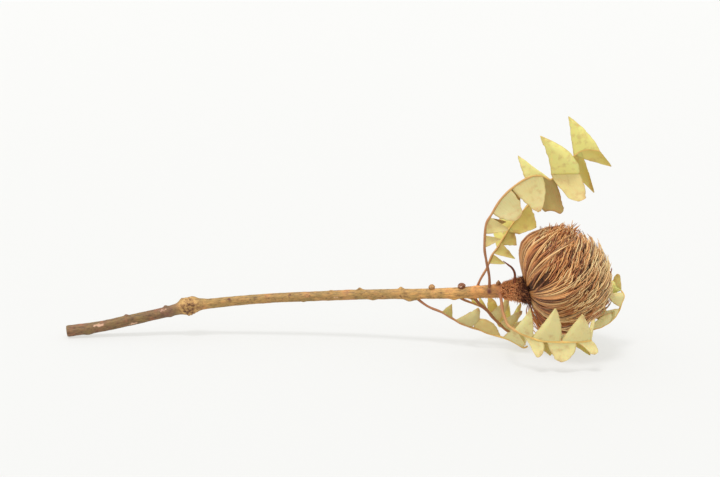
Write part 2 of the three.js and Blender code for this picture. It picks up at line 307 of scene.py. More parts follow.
def floret_material():
    shader = Shader("floret_straw", 0.45, {"Specular IOR Level": 0.45})
    along = shader.attribute("along")
    tone = shader.attribute("tone")
    hue = shader.attribute("hue")
    straw = shader.palette(
        tone,
        (0.0, 66, 30, 14), (0.25, 138, 78, 40), (0.5, 206, 134, 78), (0.8, 248, 186, 116),
        (1.0, 255, 222, 160),
    )
    straw = shader.mix(shader.fade(hue, (0.0, 0.62), (0.45, 0)), straw, srgb(206, 126, 74))
    straw = shader.mix(shader.fade(hue, (0.55, 0), (1.0, 0.62)), straw, srgb(236, 216, 156))
    # Painted shade: each strand darkens towards its root, deep inside the head.
    root = shader.ramp(along, (0.0, (0.26, 0.16, 0.10)), (0.3, (0.82, 0.70, 0.56)), (0.6, (1, 1, 1)))
    straw = shader.mix(1.0, straw, root, "MULTIPLY")
    streak = shader.noise(shader.coordinates(shader.math("MULTIPLY", tone, 40.0), along), 6, 3)
    straw = shader.tint(straw, streak, 0.45, (112, 66, 36))
    return shader.finished(straw, shader.noise(shader.place(), 900, 2), 0.3, 0.1)


def core_material():
    # Painted shade: the core is coloured dark brown for the shade deep inside the head.
    shader = Shader("floret_shadow", roughness=0.95)
    grain = shader.noise(shader.place(), 260, 3)
    return shader.finished(shader.palette(grain, (0.3, 46, 26, 14), (0.7, 92, 56, 30)), grain, 0.8, 1.0)


def bark_material():
    shader = Shader("bark", roughness=0.75)
    along = shader.attribute("along")
    around = shader.attribute("around")
    knot = shader.attribute("knot")
    stretched = shader.coordinates(shader.math("MULTIPLY", along, 46.0), shader.math("MULTIPLY", around, 9.0))
    lines = shader.noise(stretched, 1.6, 5, 0.62)
    patches = shader.noise(shader.coordinates(shader.math("MULTIPLY", along, 16.0), around), 2.2, 3)
    specks = shader.noise(shader.place(), 420, 3)
    bark = shader.palette(
        along,
        (0.0, 124, 90, 62), (0.18, 120, 88, 54), (0.235, 124, 82, 66), (0.26, 186, 144, 86),
        (0.32, 176, 136, 78), (0.5, 170, 130, 74), (0.7, 178, 136, 78), (0.84, 206, 156, 88),
        (0.92, 206, 142, 78), (0.96, 172, 98, 52), (1.0, 110, 56, 34),
    )
    bark = shader.mix(shader.fade(patches, (0.42, 0), (0.62, 0.55)), bark, srgb(126, 108, 58))
    bark = shader.mix(shader.fade(patches, (0.30, 0.45), (0.44, 0)), bark, srgb(176, 104, 70))
    fibres = shader.ramp(lines, (0.34, (0.52, 0.46, 0.42)), (0.5, (1, 1, 1)), (0.68, (1.28, 1.24, 1.16)))
    bark = shader.mix(1.0, bark, fibres, "MULTIPLY")
    bark = shader.mix(shader.fade(specks, (0.60, 0), (0.72, 0.75)), bark, srgb(92, 54, 36))
    crust = shader.palette(specks, (0.36, 98, 60, 34), (0.47, 168, 124, 74), (0.6, 212, 172, 108))
    middle = shader.ramp(knot, (0.7, (1.1, 1.08, 1.02)), (1.0, (0.74, 0.68, 0.62)))
    bark = shader.mix(knot, bark, shader.mix(1.0, crust, middle, "MULTIPLY"))
    bark = shader.mix(shader.attribute("scar"), bark, srgb(226, 180, 150))
    bark = shader.mix(shader.attribute("joint"), bark, srgb(96, 46, 32))
    shader.feed(shader.bsdf.inputs["Roughness"], shader.math("MULTIPLY_ADD", lines, 0.3, 0.5))
    return shader.finished(bark, shader.math("ADD", lines, specks), 0.7, 0.5)


def fur_material():
    shader = Shader("fur", roughness=0.75)
    tone = shader.attribute("tone")
    hair = shader.palette(tone, (0.0, 58, 22, 12), (0.35, 140, 72, 38), (1.0, 242, 168, 106))
    pale_tips = shader.math("MULTIPLY", shader.attribute("along"), tone)
    return shader.finished(shader.tint(hair, pale_tips, 0.4, (226, 172, 120)))


def bract_material():
    shader = Shader("bract", roughness=0.85)
    grain = shader.noise(shader.place(), 420, 4)
    brown = shader.palette(grain, (0.3, 62, 28, 16), (0.55, 118, 62, 36), (0.8, 170, 104, 64))
    return shader.finished(brown, grain, 0.7, 0.4)


def leaf_material():
    shader = Shader("dry_leaf", 0.6, {"Subsurface Weight": 0.15, "Subsurface Scale": 0.002})
    out = shader.attribute("out")
    across = shader.attribute("across")
    veins = shader.noise(shader.coordinates(shader.math("MULTIPLY", across, 30.0), out), 1.4, 3)
    mottle = shader.noise(shader.place(), 190, 5)
    # The blade's colour follows each lobe's tone; the darker olive tones also stand in for shade on lobes in
    # shadow, as painted shade.
    blade = shader.palette(
        shader.attribute("tone"),
        (0.0, 190, 164, 88), (0.05, 176, 164, 106), (0.12, 198, 178, 106), (0.35, 208, 196, 130),
        (0.6, 226, 220, 116), (0.75, 196, 182, 76), (1.0, 150, 130, 46),
    )
    blade = shader.tint(blade, veins, 0.34, (240, 232, 176))
    blade = shader.tint(blade, shader.fade(mottle, (0.52, 0), (0.70, 1)), 0.42, (178, 134, 76))
    patches = shader.fade(mottle, (0.4, 0), (0.6, 1))
    browned = shader.math("MULTIPLY", shader.math("POWER", out, 5.0), patches)
    blade = shader.tint(blade, browned, 0.6, (170, 118, 70))
    rim = shader.math("POWER", shader.attribute("edge"), 14.0)
    blade = shader.tint(blade, rim, 0.5, (176, 140, 70))
    return shader.finished(blade, shader.math("ADD", veins, mottle), 0.4, 0.25)


def petiole_material():
    shader = Shader("leaf_stalk", roughness=0.6)
    lines = shader.noise(shader.place(), 300, 4)
    along = shader.attribute("along")
    run = shader.palette(along, (0.0, 150, 92, 60), (0.3, 190, 138, 86), (0.7, 240, 200, 112))
    return shader.finished(shader.tint(run, lines, 0.5, (140, 84, 50)), lines, 0.5, 0.3)


def bud_material():
    shader = Shader("bud", roughness=0.8)
    grain = shader.noise(shader.place(), 700, 4)
    dark = shader.palette(grain, (0.35, 84, 46, 28), (0.56, 138, 84, 54), (0.7, 224, 200, 180))
    pale = shader.palette(grain, (0.35, 140, 92, 52), (0.6, 198, 154, 98))
    return shader.finished(shader.mix(shader.attribute("pale"), dark, pale), grain, 0.8, 0.5)


# ---- the stem ----
# [x, y, z, radius] down the middle of the stem, from the cut end to the flower head.
STEM = [
    (-370, 35, 4.8, 4.7), (-343, 38, 8, 4.5), (-318, 40, 13, 4.6), (-295, 42, 17.8, 4.4),
    (-279, 42, 22, 4.8), (-269, 42, 24.8, 6.8), (-255, 42, 26.6, 4.5), (-225, 41, 30, 4.0),
    (-192, 39, 33, 3.9), (-158, 36, 35.3, 4.1), (-129, 32, 37.6, 4.1), (-92, 25, 40.3, 4.1),
    (-67, 20, 42, 4.3), (-43, 14, 44.4, 4.6), (-27, 10, 46.5, 5.0), (-12, 5, 48.8, 5.6),
    (0, 1, 50.6, 5.8), (10, 0, 51.5, 5.2),
]
# Swellings on the stem: [x, y, z, reach, height], with the kind of mark that some of them carry.
STEM_BUMPS = [
    (-267.5, 38, 25, 13, 0.0, "knot"), (-270, 36, 27, 5, 1.8), (-265, 44, 31, 5, 1.5),
    (-266, 38, 19, 5, 1.9), (-262, 36, 27, 4, 1.2), (-274, 42, 30, 4, 1.6), (-277, 38, 24, 4, 0.8),
    (-257, 40, 29, 3.5, 0.7), (-343, 34, 10.5, 1.7, 0.4, "scar"), (-315, 36, 11, 1.5, 0.4, "scar"),
    (-290, 38, 23, 2.0, 0.4, "scar"), (-352, 37, 2, 4, 0.8), (-321, 40, 18, 2.2, 1.7, "joint"),
    (-288, 42, 24.5, 2.4, 1.5), (-284, 42, 17, 3, 0.9), (-234, 38, 32, 2.0, 0.5, "joint"),
    (-205, 37, 34, 2.2, 0.4), (-183, 36, 36, 1.8, 0.6, "joint"), (-172, 34, 31, 2.5, 1.0),
    (-149, 34, 39, 2.4, 1.3), (-145, 31, 36, 1.1, 0.4, "scar"), (-125, 31, 41.5, 2.6, 2.4),
    (-114, 28, 33.5, 3.5, 1.2), (-99, 24, 40, 2.6, 0.5), (-91, 25, 44.4, 2.6, 2.0),
    (-84, 21, 36.6, 5, 2.4), (-78, 19, 36, 3.5, 1.8), (-58, 13, 43, 2.2, 0.4),
    (-33, 10, 41, 3.5, 1.3, "joint"), (-48, 14, 40, 4, 1.2), (-30, 10, 51, 4, 0.8),
    (-20, 3, 49, 3.4, 1.6, "joint"), (-12, 0, 48, 3.5, 1.0),
]
STEM_STEPS = 760
STEM_SIDES = 44
SCAR_LENGTH = 3.4
SCAR_RAGGEDNESS = 1.3
BUMP_FALL = 1.6
KNOT_ROUGHNESS = 1.1
# The cut ends lose their sharp edge: over this length, by this much.
END_LENGTH = 1.2
END_BEVEL = 0.25
# Ridges and grain of the bark: [height, noise scale round the stem, noise scale along it].
RIDGES = (0.36, 2.2, 0.035)
GRAINS = (0.2, 6, 0.22)


def bark_height(turn, run):
    """Height of the bark's ridges and grain at each place round the stem and along it."""
    height = np.empty(len(turn))
    for i, angle in enumerate(turn * 2 * math.pi):
        ridge, grain = (
            Vector((wide * math.cos(angle), wide * math.sin(angle), run[i] * tall))
            for _, wide, tall in (RIDGES, GRAINS)
        )
        height[i] = RIDGES[0] * noise.fractal(ridge, 0.9, 2.0, 4) + GRAINS[0] * noise.noise(grain)
    return height


def swellings(vertices, path):
    """Height of the stem's swellings at each vertex, and how strongly each kind of mark shows there."""
    height = np.zeros(len(vertices))
    marks = {kind: np.zeros(len(vertices)) for kind in ("knot", "scar", "joint")}
    for x, y, z, reach, tall, *kinds in STEM_BUMPS:
        offset = vertices - (x, y, z)
        nearest = np.argmin(np.abs(path[:, 0] - x))
        along = offset @ unit(path[nearest + 1] - path[nearest])
        squeeze = 1 - SCAR_LENGTH**-2 if "scar" in kinds else 0
        away = np.sqrt(np.sum(offset**2, axis=1) - squeeze * along**2) / reach
        height += tall * np.exp(-away * away * BUMP_FALL)
        for kind in kinds:
            marks[kind] = np.maximum(marks[kind], np.clip(1.7 - 2.0 * away, 0, 1))
    return height, marks


def make_stem():
    rows = spline(STEM, np.linspace(0, len(STEM) - 1, STEM_STEPS))
    path = rows[:, :3]
    steps = np.linalg.norm(np.diff(path, axis=0), axis=1)
    distance = np.concatenate([[0], np.cumsum(steps)])
    vertices, faces = tube(path, rows[:, 3], STEM_SIDES)
    outward = unit(vertices - np.repeat(path, STEM_SIDES, axis=0))
    turn = np.tile(np.linspace(0, 1, STEM_SIDES, endpoint=False), STEM_STEPS)
    run = np.repeat(distance, STEM_SIDES)
    height, marks = swellings(vertices, path)
    rough = np.array([noise.fractal(Vector(v) * 0.55, 0.8, 2.0, 3) for v in vertices])
    height += bark_height(turn, run) + KNOT_ROUGHNESS * marks["knot"] * rough
    edge = np.array([noise.noise(Vector(v) * 0.9) for v in vertices])
    ragged = SCAR_RAGGEDNESS * edge * (marks["scar"] > 0)
    marks["scar"] = np.clip(marks["scar"] + ragged, 0, 0.85)
    vertices = vertices + outward * height[:, None]
    ends = (run < END_LENGTH) | (run > distance[-1] - END_LENGTH)
    vertices[ends] -= outward[ends] * END_BEVEL
    attributes = {"along": run / distance[-1], "around": turn, **marks}
    add_piece("stem_bark", ["stem"], vertices, faces, bark_material(), attributes)


# ---- the flower head ----
HEAD_BASE = np.array([12.0, 0.0, 51.5])
HEAD_TILT = math.radians(17)
# The head's outline: [degrees from its axis, distance from its base].
HEAD_PROFILE = [
    (0, 70.5), (10, 70), (22, 68.5), (37, 62), (53, 54.5), (63, 49.5),
    (76, 44.5), (84, 39), (90, 30), (96, 17), (104, 10), (114, 7),
]
HEAD_LEAN = 0.035
HEAD_SADDLE = 0.0075
HEAD_AXIS = np.array([math.cos(HEAD_TILT), 0, math.sin(HEAD_TILT)])
HEAD_UP = np.array([-math.sin(HEAD_TILT), 0, math.cos(HEAD_TILT)])
FLOW_TILT = math.radians(54)
FLOW_TURN = math.radians(30)
FLOW = np.array([
    math.cos(FLOW_TILT) * math.cos(FLOW_TURN),
    math.cos(FLOW_TILT) * math.sin(FLOW_TURN),
    math.sin(FLOW_TILT),
])
RIM_LIMIT = math.radians(90)
STRAND_POINTS = 17
# How the strands' tones are spread, as the two parameters of a beta distribution.
STRAW_SPREAD = (0.9, 0.7)
STRAP_SPREAD = (3.0, 1.2)
# How a strand's hue follows the place of its end, above, below and beyond the head's middle.
HUE_MIDDLE = 0.45
HUE_ABOVE = 0.14
HUE_BELOW = 0.4
HUE_FAR = 0.42
HUE_SCATTER = 0.12
# The tufts over the dome, in layers of [name, depth under the surface, brightness, scatter]; the deeper
# layers are darker as painted shade.
DOME_LAYERS = (("outer", 0.012, 1.12, 0.06), ("middle", 0.05, 0.85, 0.08), ("inner", 0.11, 0.5, 0.12))
TUFTS = 120
TUFT_LIMIT = math.radians(66)
TUFT_WIDTHS = (0.42, 0.72)
STRANDS_PER_TUFT = 9
# The long combed bundles that fan out from the base: [middle, half width, strands, thickness, end, pull], in
# degrees round the head's axis from the top, with minus towards the front. end is how far from the axis
# most of the strands stop, and pull scales how far they are drawn over towards the flow direction.
BUNDLES = [
    (-3, 13, 26, 1.9, 70, 1.0), (-28, 9, 34, 1.25, 62, 1.0), (-52, 10, 44, 1.15, 56, 1.6),
    (-93, 18, 70, 0.9, 58, 0.9), (-122, 9, 46, 1.0, 62, 1.0), (-143, 9, 42, 1.0, 66, 1.0),
    (-164, 9, 42, 1.0, 66, 1.0), (-186, 10, 42, 1.0, 66, 1.0), (-210, 11, 44, 1.0, 64, 1.0),
    (-236, 12, 46, 1.0, 60, 1.0), (-263, 12, 46, 1.0, 60, 1.0), (-290, 12, 46, 1.0, 60, 1.0),
    (-318, 12, 44, 1.1, 62, 1.0), (-340, 8, 26, 1.4, 66, 1.0),
]
FRONT_BUNDLES = 6
# Each bundle has an upper and a lower layer: [depth under the surface, share of its strands, shade].
BUNDLE_LAYERS = ((0.0, 0.65, 1.0), (0.06, 0.8, 0.6))
BUNDLE_SHAPE = {"flatness": 0.7, "tip": 0.2, "start": 0.08, "root": (0.2, 1.7)}
BUNDLE_WIDTHS = (0.36, 0.6)
BUNDLE_GLOW = 1.2
STRAP_THICKNESS = 1.3
STRAP_GLOW = 1.12
# Painted light: strands that end below the head's base are made lighter by this much.
UNDERSIDE_PAINTED_LIGHT = 1.3
DEPTH_SHADE = 4.5
# Where a bundle's strands leave the neck and where they turn over the rim, as tilts from the head's axis.
NECK_TILT = math.radians(111)
KNEE_TILT = math.radians(88)
NECK_SINK = 0.2
NECK_SPREAD = 0.5
# A lock stops at most this many degrees before its bundle's end, and never past the limit.
END_SCATTER = 26
END_LIMIT = 80
# Some strands lift off the surface at their tips.
FLARE_SHARE = 0.4
FLARE_HEIGHTS = (0.5, 3.4)
# Strands that have worked loose below the neck: where they start, bow and end, each with its scatter.
LOOSE = [((12, -3, 43), 0.9), ((10, -9, 30), 2.4), ((26, -9, 19), 3.6)]
LOOSE_STRANDS = 22
LOOSE_WIDTHS = (0.28, 0.42)
# The crest of short rusty tips along the top, in degrees from the head's axis and round it.
CREST_STRANDS = 120
CREST_TILTS = (36, 66)
CREST_MIDDLE = -6
CREST_SPREAD = 17
CREST_HEIGHTS = (4, 7.5)
CREST_WIDTHS = (0.22, 0.42)
CREST_ROOT = 5.0


def dome_radius(directions):
    """Distance from the head's base to its outer surface along each direction."""
    angle = np.degrees(np.arccos(np.clip(directions @ HEAD_AXIS, -1, 1)))
    degrees, distance = zip(*HEAD_PROFILE)
    return np.interp(angle, degrees, distance)


def head_point(offsets):
    """Offsets from the head's base, made fuller above and pressed forward at the two sides."""
    length = np.maximum(np.linalg.norm(offsets, axis=-1), 1)
    offsets = offsets * (1 + HEAD_LEAN * (offsets @ HEAD_UP) / length)[..., None]
    forward = np.clip(1 - (offsets @ HEAD_AXIS) / HEAD_PROFILE[0][1], 0, 1)
    return HEAD_BASE + offsets + HEAD_AXIS * (HEAD_SADDLE * offsets[..., 1] ** 2 * forward)[..., None]


def turned_from(directions, pole, angles):
    """Directions turned away from the pole by the angles, in the plane that holds both."""
    away = unit(directions - (directions @ pole)[:, None] * pole)
    present = np.arccos(np.clip(directions @ pole, -1, 1))
    angles = present + angles
    return np.cos(angles)[:, None] * pole + np.sin(angles)[:, None] * away


def dome_directions(count, widest):
    """Evenly spread directions about the head's axis, out to the widest angle."""
    index = np.arange(count) + 0.5
    height = 1 - index / count * (1 - math.cos(widest))
    angle = index * math.pi * (3 - math.sqrt(5))
    level = np.sqrt(1 - height**2)
    return height[:, None] * HEAD_AXIS + level[:, None] * around_axis(angle)


def around_axis(angle):
    """Directions square to the head's axis: 0 is up, a quarter turn is to the back."""
    return np.cos(angle)[..., None] * HEAD_UP + np.sin(angle)[..., None] * np.array([0, 1.0, 0])


def within_rim(directions):
    """The directions, with those that point behind the flower head's rim brought back to it."""
    angle = np.arccos(np.clip(directions @ HEAD_AXIS, -1, 1))
    away = unit(directions - (directions @ HEAD_AXIS)[:, None] * HEAD_AXIS)
    angle = np.where(angle > RIM_LIMIT, RIM_LIMIT + 0.25 * (angle - RIM_LIMIT), angle)
    return np.cos(angle)[:, None] * HEAD_AXIS + np.sin(angle)[:, None] * away


def strand_paths(ends, bends, depth, wave, lift):
    """Strands that leave the head's base, bow outwards and lie over towards the flow direction."""
    share = np.linspace(0, 1, STRAND_POINTS)
    reach = dome_radius(ends) * (1 - depth)
    phase = RANDOM.uniform(0, 2 * math.pi, (2, len(ends)))
    pace = RANDOM.uniform(2.2, 4.2, len(ends))
    paths = np.empty((len(ends), STRAND_POINTS, 3))
    for k, t in enumerate(share):
        direction = within_rim(turned_from(ends, FLOW, bends * (1 - t) ** 1.15))
        distance = reach * (1 - (1 - t) ** 1.9) + lift * t**4
        away = unit(direction - (direction @ FLOW)[:, None] * FLOW)
        sideways = unit(np.cross(direction, away))
        grow = wave * t**1.3
        swing = grow * np.sin(phase[0] + pace * t * 2 * math.pi)
        bob = grow * 0.6 * np.sin(phase[1] + pace * 1.2 * t * 2 * math.pi)
        paths[:, k] = head_point(direction * (distance + bob)[:, None] + sideways * swing[:, None])
    return paths


def axis_directions(tilt, turn):
    """Directions at a tilt from the head's axis and a turn about it."""
    return np.cos(tilt)[..., None] * HEAD_AXIS + np.sin(tilt)[..., None] * around_axis(turn)


def bundle_paths(middle, half, end, pull, count, base_depth):
    """Strands in locks that leave the neck together, swell out over the rim and lie along the dome."""
    locks = max(4, count // 4)
    lock = np.sort(RANDOM.integers(0, locks, count))
    across = np.linspace(-1, 1, count) + RANDOM.normal(0, 0.6 / count, count)
    stops = RANDOM.triangular(end - END_SCATTER, end, END_LIMIT, locks)[lock]
    stops = np.radians(stops + RANDOM.normal(0, 6, count))
    depth = base_depth + RANDOM.uniform(0, 0.05, locks)[lock] + RANDOM.uniform(0, 0.06, count)
    depth = depth + 0.08 * np.abs(across) ** 3
    lean = pull * (RANDOM.uniform(0.2, 0.42, locks)[lock] + RANDOM.normal(0, 0.03, count))
    phase = RANDOM.uniform(0, 2 * math.pi, locks)[lock] + RANDOM.normal(0, 0.9, count)
    wave = RANDOM.uniform(0.2, 1.0, locks)[lock]
    flare = np.where(RANDOM.random(count) < FLARE_SHARE, RANDOM.uniform(*FLARE_HEIGHTS, count), 0)
    sink = RANDOM.uniform(0, NECK_SINK, locks)[lock] + RANDOM.uniform(0, 0.4 * NECK_SINK, count)
    first = axis_directions(np.full(count, NECK_TILT), middle + NECK_SPREAD * half * across)
    knee = axis_directions(np.full(count, KNEE_TILT), middle + half * across)
    last = turned_from(axis_directions(stops, middle + 0.95 * half * across), FLOW, -lean)
    paths = np.empty((count, STRAND_POINTS, 3))
    for k, t in enumerate(np.linspace(0, 1, STRAND_POINTS)):
        direction = unit((1 - t) ** 2 * first + 2.4 * t * (1 - t) * knee + t * t * last)
        bulge = 1 - depth * min(1, 3 * t) + 0.03 * (1 - across**2) * math.sin(math.pi * min(1, 1.6 * t))
        bulge = bulge - sink * math.exp(-(((t - 0.14) / 0.13) ** 2))
        sideways = unit(np.cross(direction, HEAD_AXIS))
        swing = wave * t * np.sin(phase + t * 8)
        bob = 0.5 * wave * t * np.sin(1.7 * phase + t * 10) + flare * t**7
        distance = dome_radius(direction) * bulge + bob
        paths[:, k] = head_point(direction * distance[:, None] + sideways * swing[:, None])
    return paths, depth


def loose_paths():
    """Strands that have worked loose and hang in bows below the neck."""
    share = np.linspace(0, 1, STRAND_POINTS)[None, :, None]
    size = (LOOSE_STRANDS, 3)
    first, bow, last = (np.array(place) + RANDOM.normal(0, spread, size) for place, spread in LOOSE)
    ends = (1 - share) ** 2 * first[:, None] + share**2 * last[:, None]
    return ends + 2 * share * (1 - share) * bow[:, None]


def make_bundles(material):
    for side, chosen in (("front", BUNDLES[:FRONT_BUNDLES]), ("back", BUNDLES[FRONT_BUNDLES:])):
        paths, widths, tones = [], [], []
        for middle, half, count, thickness, end, pull in chosen:
            strap = thickness > STRAP_THICKNESS
            for base_depth, share, shade in BUNDLE_LAYERS:
                number = int(count * share)
                turn, width = math.radians(middle), math.radians(half)
                made, depth = bundle_paths(turn, width, end, pull, number, base_depth)
                paths.append(made)
                widths.append(RANDOM.uniform(*BUNDLE_WIDTHS, number) * thickness)
                # Painted light: the strands that end under the head are made lighter.
                underside = np.clip((HEAD_BASE[2] - made[:, -1, 2]) / 40, 0, 1)
                glow = (STRAP_GLOW if strap else BUNDLE_GLOW) + UNDERSIDE_PAINTED_LIGHT * underside
                spread = RANDOM.beta(*(STRAP_SPREAD if strap else STRAW_SPREAD), number)
                tones.append(np.clip(shade * spread * (glow - DEPTH_SHADE * depth), 0, 1))
        if side == "front":
            paths.append(loose_paths())
            widths.append(RANDOM.uniform(*LOOSE_WIDTHS, LOOSE_STRANDS))
            tones.append(RANDOM.uniform(0.45, 0.95, LOOSE_STRANDS))
        paths, widths, tones = (np.concatenate(rows) for rows in (paths, widths, tones))
        name, hues = f"florets_long_{side}", strand_hues(paths)
        add_strands(name, "florets", paths, widths, tones, hues, 6, material, **BUNDLE_SHAPE)


def make_crest(material):
    """Short rusty tips that stand up out of the head along its top."""
    tilt = np.radians(RANDOM.uniform(*CREST_TILTS, CREST_STRANDS))
    turn = np.radians(RANDOM.normal(CREST_MIDDLE, CREST_SPREAD, CREST_STRANDS))
    outward = axis_directions(tilt, turn)
    root = head_point(outward * (dome_radius(outward) - CREST_ROOT)[:, None])
    lean = unit(outward + 0.7 * FLOW + RANDOM.normal(0, 0.3, root.shape))
    tall = RANDOM.uniform(*CREST_HEIGHTS, CREST_STRANDS)
    bend = RANDOM.normal(0, 1.4, root.shape)
    share = np.linspace(0, 1, 6)[None, :, None]
    paths = root[:, None] + lean[:, None] * tall[:, None, None] * share + bend[:, None] * share**2
    tones = RANDOM.uniform(0.3, 0.95, CREST_STRANDS)
    hues = RANDOM.uniform(0.15, 0.7, CREST_STRANDS)
    widths = RANDOM.uniform(*CREST_WIDTHS, CREST_STRANDS)
    add_strands("florets_crest", "florets", paths, widths, tones, hues, 5, material, flatness=0.75)


def strand_hues(paths):
    """From 0, red-brown, low at the neck side, to 1, yellow-green, high at the far side."""
    ends = paths[:, -1]
    high = (ends[:, 2] - HEAD_BASE[2]) / 50
    far = (ends[:, 0] - HEAD_BASE[0] - 32) / 40
    hue = HUE_MIDDLE + HUE_ABOVE * np.maximum(high, 0) + HUE_BELOW * np.minimum(high, 0) + HUE_FAR * far
    return np.clip(hue + RANDOM.normal(0, HUE_SCATTER, len(ends)), 0, 1)


def make_tufts(material):
    """Shorter strands in tufts, which lie over the dome in three layers."""
    centres = dome_directions(TUFTS, TUFT_LIMIT)
    for label, base_depth, depth_shaded_brightness, spread in DOME_LAYERS:
        ends = np.repeat(centres, STRANDS_PER_TUFT, axis=0)
        ends = within_rim(unit(ends + RANDOM.normal(0, spread, ends.shape)))
        tuft_bend = np.repeat(RANDOM.uniform(0.45, 0.9, TUFTS), STRANDS_PER_TUFT)
        bends = tuft_bend + RANDOM.normal(0, 0.06, len(ends))
        tuft_depth = np.repeat(RANDOM.uniform(0, 0.05, TUFTS), STRANDS_PER_TUFT)
        depth = base_depth + tuft_depth + RANDOM.uniform(0, 0.04, len(ends))
        wave = RANDOM.uniform(0.25, 0.9, len(ends))
        lift = RANDOM.uniform(-2.5, 0.6, len(ends))
        paths = strand_paths(ends, bends, depth, wave, lift)
        widths = RANDOM.uniform(*TUFT_WIDTHS, len(ends))
        hues = strand_hues(paths)
        # Painted shade: the deeper tuft layers have lower brightness.
        tones = (depth_shaded_brightness + 0.3 * (hues - 0.5)) * RANDOM.beta(*STRAW_SPREAD, len(ends))
        tones = np.clip(tones, 0, 1)
        name = f"florets_{label}"
        add_strands(name, "florets", paths, widths, tones, hues, 5, material, flatness=0.75)


CORE_SHRINK = 0.83
CORE_EDGE = math.radians(95)


def make_core():
    """The receptacle and floret bases inside the head, coloured dark as painted shade."""
    rings, sides = 26, 48
    vertices = []
    for angle in np.linspace(CORE_EDGE, 0, rings):
        directions = math.cos(angle) * HEAD_AXIS + math.sin(angle) * around_axis(turns(sides))
        wobble = np.array([1 + 0.06 * noise.noise(Vector(d) * 7) for d in directions])
        distance = dome_radius(directions) * CORE_SHRINK * wobble
        vertices.append(head_point(directions * distance[:, None]))
    faces = ring_faces(rings, sides)
    add_piece("floret_bases", ["flower_head"], np.vstack(vertices), faces, core_material())


def make_head():
    material = floret_material()
    make_tufts(material)
    make_bundles(material)
    make_crest(material)
    make_core()


# ---- the collar of bracts ----
# [x, y, z, radius] down the middle of the collar.
COLLAR = [(-9, 4, 49.3, 6.7), (-4, 2, 50.1, 7.3), (2, 0.5, 51, 8.3), (8, 0, 51.3, 9.3), (11, 0, 51.5, 9.0)]
COLLAR_SIDES = 60
COLLAR_HAIRS = 3800
DOWN_HAIRS = 3600
# Length of the hairs at the stem end and at the head end.
COLLAR_HAIR_LENGTHS = (1.6, 6.2)
DOWN_HAIR_LENGTHS = (0.7, 1.9)
# The stretch of stem with fine down, counted in STEM points back from one past the last.
DOWN_STRETCH = (6.2, 1.2)


def make_collar():
    rows = spline(COLLAR, np.linspace(0, len(COLLAR) - 1, 40))
    path, radius = rows[:, :3], rows[:, 3]
    vertices, faces = tube(path, radius - 1.2, COLLAR_SIDES)
    bumpy = np.array([0.7 * noise.fractal(Vector(v) * 0.35, 0.8, 2.0, 4) for v in vertices])
    outward = unit(vertices - np.repeat(path, COLLAR_SIDES, axis=0))
    vertices = vertices + outward * bumpy[:, None]
    add_piece("collar_base", ["bract_collar"], vertices, faces, bract_material())


def fur_paths(rows, count, length, lean, spread):
    """Short hairs standing on a tapered bar whose rows are [x, y, z, radius]."""
    _, side, up = along_frames(rows[:, :3])
    pick = RANDOM.integers(1, len(rows) - 1, count)
    tangent = unit(np.gradient(rows[:, :3], axis=0))[pick]
    turn = RANDOM.uniform(0, 2 * math.pi, count)
    outward = np.cos(turn)[:, None] * side[pick] + np.sin(turn)[:, None] * up[pick]
    root = rows[pick, :3] + outward * (rows[pick, 3] - 0.4)[:, None]
    direction = unit(outward + lean * tangent + RANDOM.normal(0, spread, (count, 3)))
    tall = RANDOM.uniform(0.5, 1, count) * np.interp(pick, (0, len(rows)), length)
    share = np.linspace(0, 1, 4)[None, :, None]
    bend = RANDOM.normal(0, 0.25, (count, 3))
    reach = tall[:, None, None] * share
    return root[:, None] + direction[:, None] * reach + bend[:, None] * reach * share


def make_fur():
    material = fur_material()
    rows = spline(COLLAR, np.linspace(0, len(COLLAR) - 1, 200))
    paths = fur_paths(rows, COLLAR_HAIRS, COLLAR_HAIR_LENGTHS, lean=1.1, spread=0.65)
    headward = np.clip((paths[:, 0, 0] + 2) / 8, 0, 1)
    tones = np.clip(1.0 - 0.95 * headward + RANDOM.normal(0, 0.3, len(paths)), 0, 1)
    widths = RANDOM.uniform(0.1, 0.3, len(paths))
    add_strands("collar_fur", "bracts", paths, widths, tones, tones, 3, material)
    first, last = (len(STEM) - back for back in DOWN_STRETCH)
    rows = spline(STEM, np.linspace(first, last, 500))
    paths = fur_paths(rows, DOWN_HAIRS, DOWN_HAIR_LENGTHS, lean=0.6, spread=0.4)
    tones = 0.4 + 0.5 * RANDOM.beta(2.0, 2.0, len(paths))
    widths = RANDOM.uniform(0.05, 0.11, len(paths))
    add_strands("stem_down", "bark", paths, widths, tones, tones, 3, material)


# ---- the curled bract and the buds ----
CURLED_BRACT = [
    (-1, -3, 56, 1.6), (-1, -4, 60.5, 1.5), (-1, -5, 65, 1.5), (-2, -6, 68.5, 1.4),
    (-4, -6.5, 71.5, 1.3), (-7, -7, 74, 1.1), (-11, -7, 77, 0.4),
]
CURL_THICKNESS = 0.65
CURL_SIDES = 14
# [x, y, z, radius, paleness, how pointed]
BUDS = [(-42, 13, 50.6, 2.6, 0.05, 0.0), (-66, 19.5, 47.8, 2.2, 0.9, 0.2), (-13, 5, 55.4, 1.7, 0.6, 0.9)]
BUD_STRETCH = 1.2
BUD_FOLDS = 0.16


def make_curled_bract():
    rows = spline(CURLED_BRACT, np.linspace(0, len(CURLED_BRACT) - 1, 60))
    section = 0.45 + 0.55 * np.abs(np.cos(turns(CURL_SIDES)))
    vertices, faces = tube(rows[:, :3], rows[:, 3:] * section * CURL_THICKNESS, CURL_SIDES)
    add_piece("bract_curl", ["curled_bract"], vertices, faces, bract_material())


